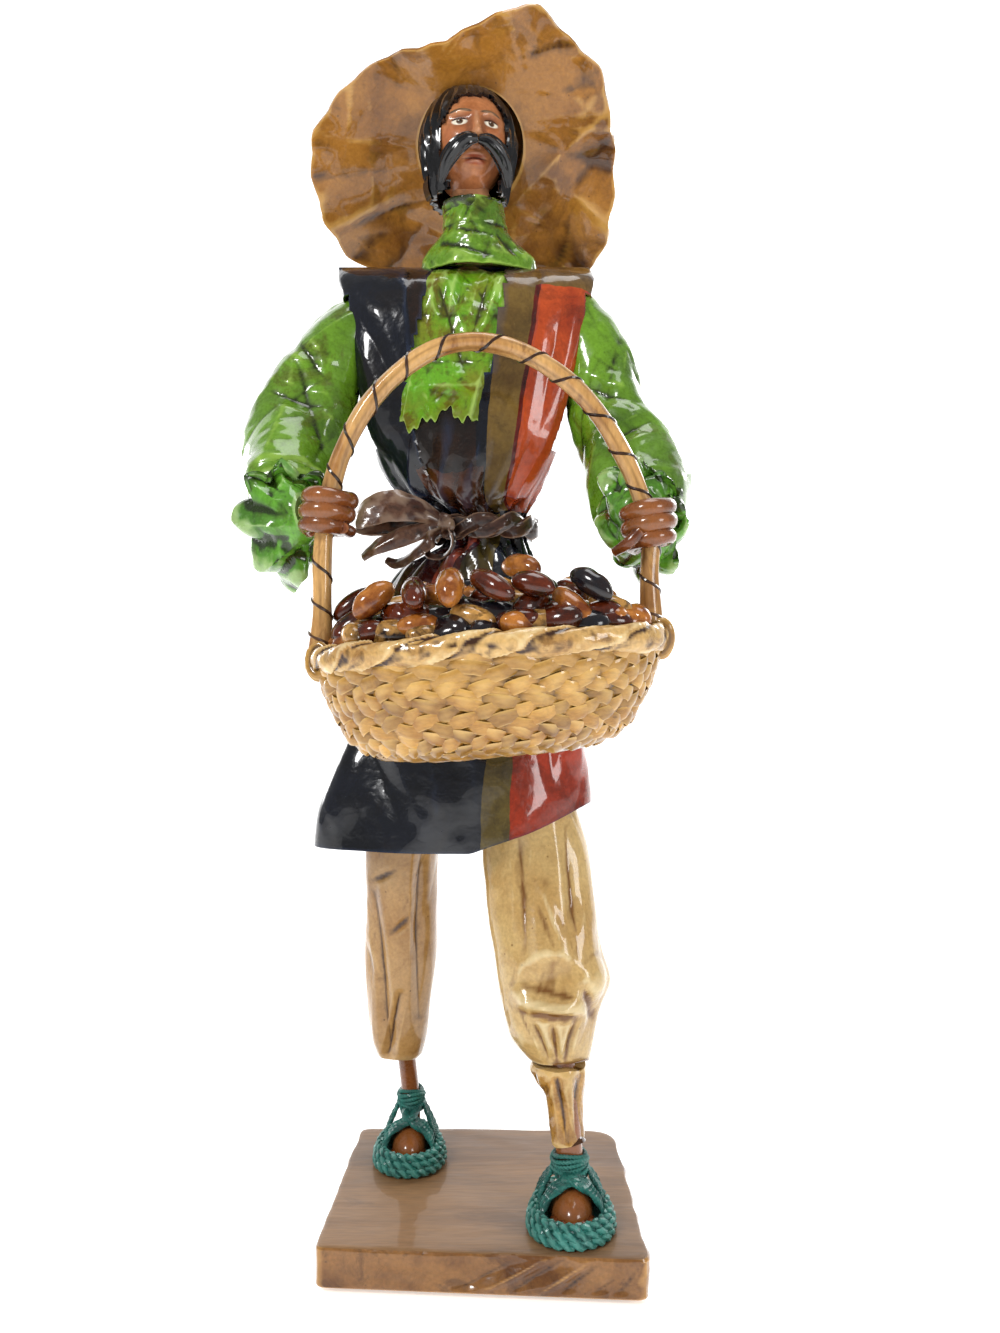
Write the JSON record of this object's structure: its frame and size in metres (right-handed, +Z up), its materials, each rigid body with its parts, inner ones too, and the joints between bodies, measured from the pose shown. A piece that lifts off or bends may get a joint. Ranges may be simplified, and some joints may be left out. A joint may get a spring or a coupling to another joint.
{
  "type": "papier-mache figure",
  "caption": "Standing papier-mache figure of a bean seller in a wide hat and belted tunic, holding a heaped basket by its arched handle, on a square block.",
  "frame": {"origin": "on the underside, below the middle of the block", "axes": "+Z up, the figure faces -Y, +X is towards the figure's left hand"},
  "size_m": [0.2079, 0.1814, 0.5736],
  "materials": {
    "dark_board": "bare, dark stained",
    "brown_paper": "pasted brown paper, varnished",
    "straw_paper": "crumpled amber paper, glossy varnish",
    "cream_paper": "crumpled cream paper, glossy varnish",
    "navy_paper": "painted paper, navy with olive and red strips, glossy varnish",
    "green_paper": "painted lime-green paper, glossy varnish",
    "brown_sash": "twisted paper strip, varnished",
    "skin": "painted brown, glossy varnish",
    "face_paint": "painted, glossy varnish",
    "black_paint": "black gloss paint",
    "teal_raffia": "dyed raffia strands",
    "palm_leaf": "braided palm leaf, varnished",
    "wrapped_cane": "cane wrapped with leaf strips, varnished",
    "bean_skin": "glossy mottled brown"
  },
  "bodies": {
    "root": {"base_backing": "dark_board", "base_block": "brown_paper", "right_foot": "skin", "left_foot": "skin", "right_sandal": "teal_raffia", "left_sandal": "teal_raffia", "right_trouser_leg": "cream_paper", "left_trouser_leg": "cream_paper", "left_calf_wrap": "cream_paper", "tunic": "navy_paper", "sash": "brown_sash", "sash_bow": "brown_sash", "shirt_collar": "green_paper", "shirt_front": "green_paper", "right_sleeve": "green_paper", "left_sleeve": "green_paper", "right_cuff": "green_paper", "left_cuff": "green_paper", "right_hand": "skin", "left_hand": "skin", "head": "face_paint", "hair": "black_paint", "moustache": "black_paint", "hat": "straw_paper", "basket": "palm_leaf", "basket_handle": "wrapped_cane", "bean_bed": "bean_skin", "bean_01": "bean_skin", "bean_02": "bean_skin", "bean_03": "bean_skin", "bean_04": "bean_skin", "bean_05": "bean_skin", "bean_06": "bean_skin", "bean_07": "bean_skin", "bean_08": "bean_skin", "bean_09": "bean_skin", "bean_10": "bean_skin", "bean_11": "bean_skin", "bean_12": "bean_skin", "bean_13": "bean_skin", "bean_14": "bean_skin", "bean_15": "bean_skin", "bean_16": "bean_skin", "bean_17": "bean_skin", "bean_18": "bean_skin", "bean_19": "bean_skin", "bean_20": "bean_skin", "bean_21": "bean_skin", "bean_22": "bean_skin", "bean_23": "bean_skin", "bean_24": "bean_skin", "bean_25": "bean_skin", "bean_26": "bean_skin", "bean_27": "bean_skin", "bean_28": "bean_skin", "bean_29": "bean_skin", "bean_30": "bean_skin", "bean_31": "bean_skin", "bean_32": "bean_skin"}
  },
  "joints": []
}
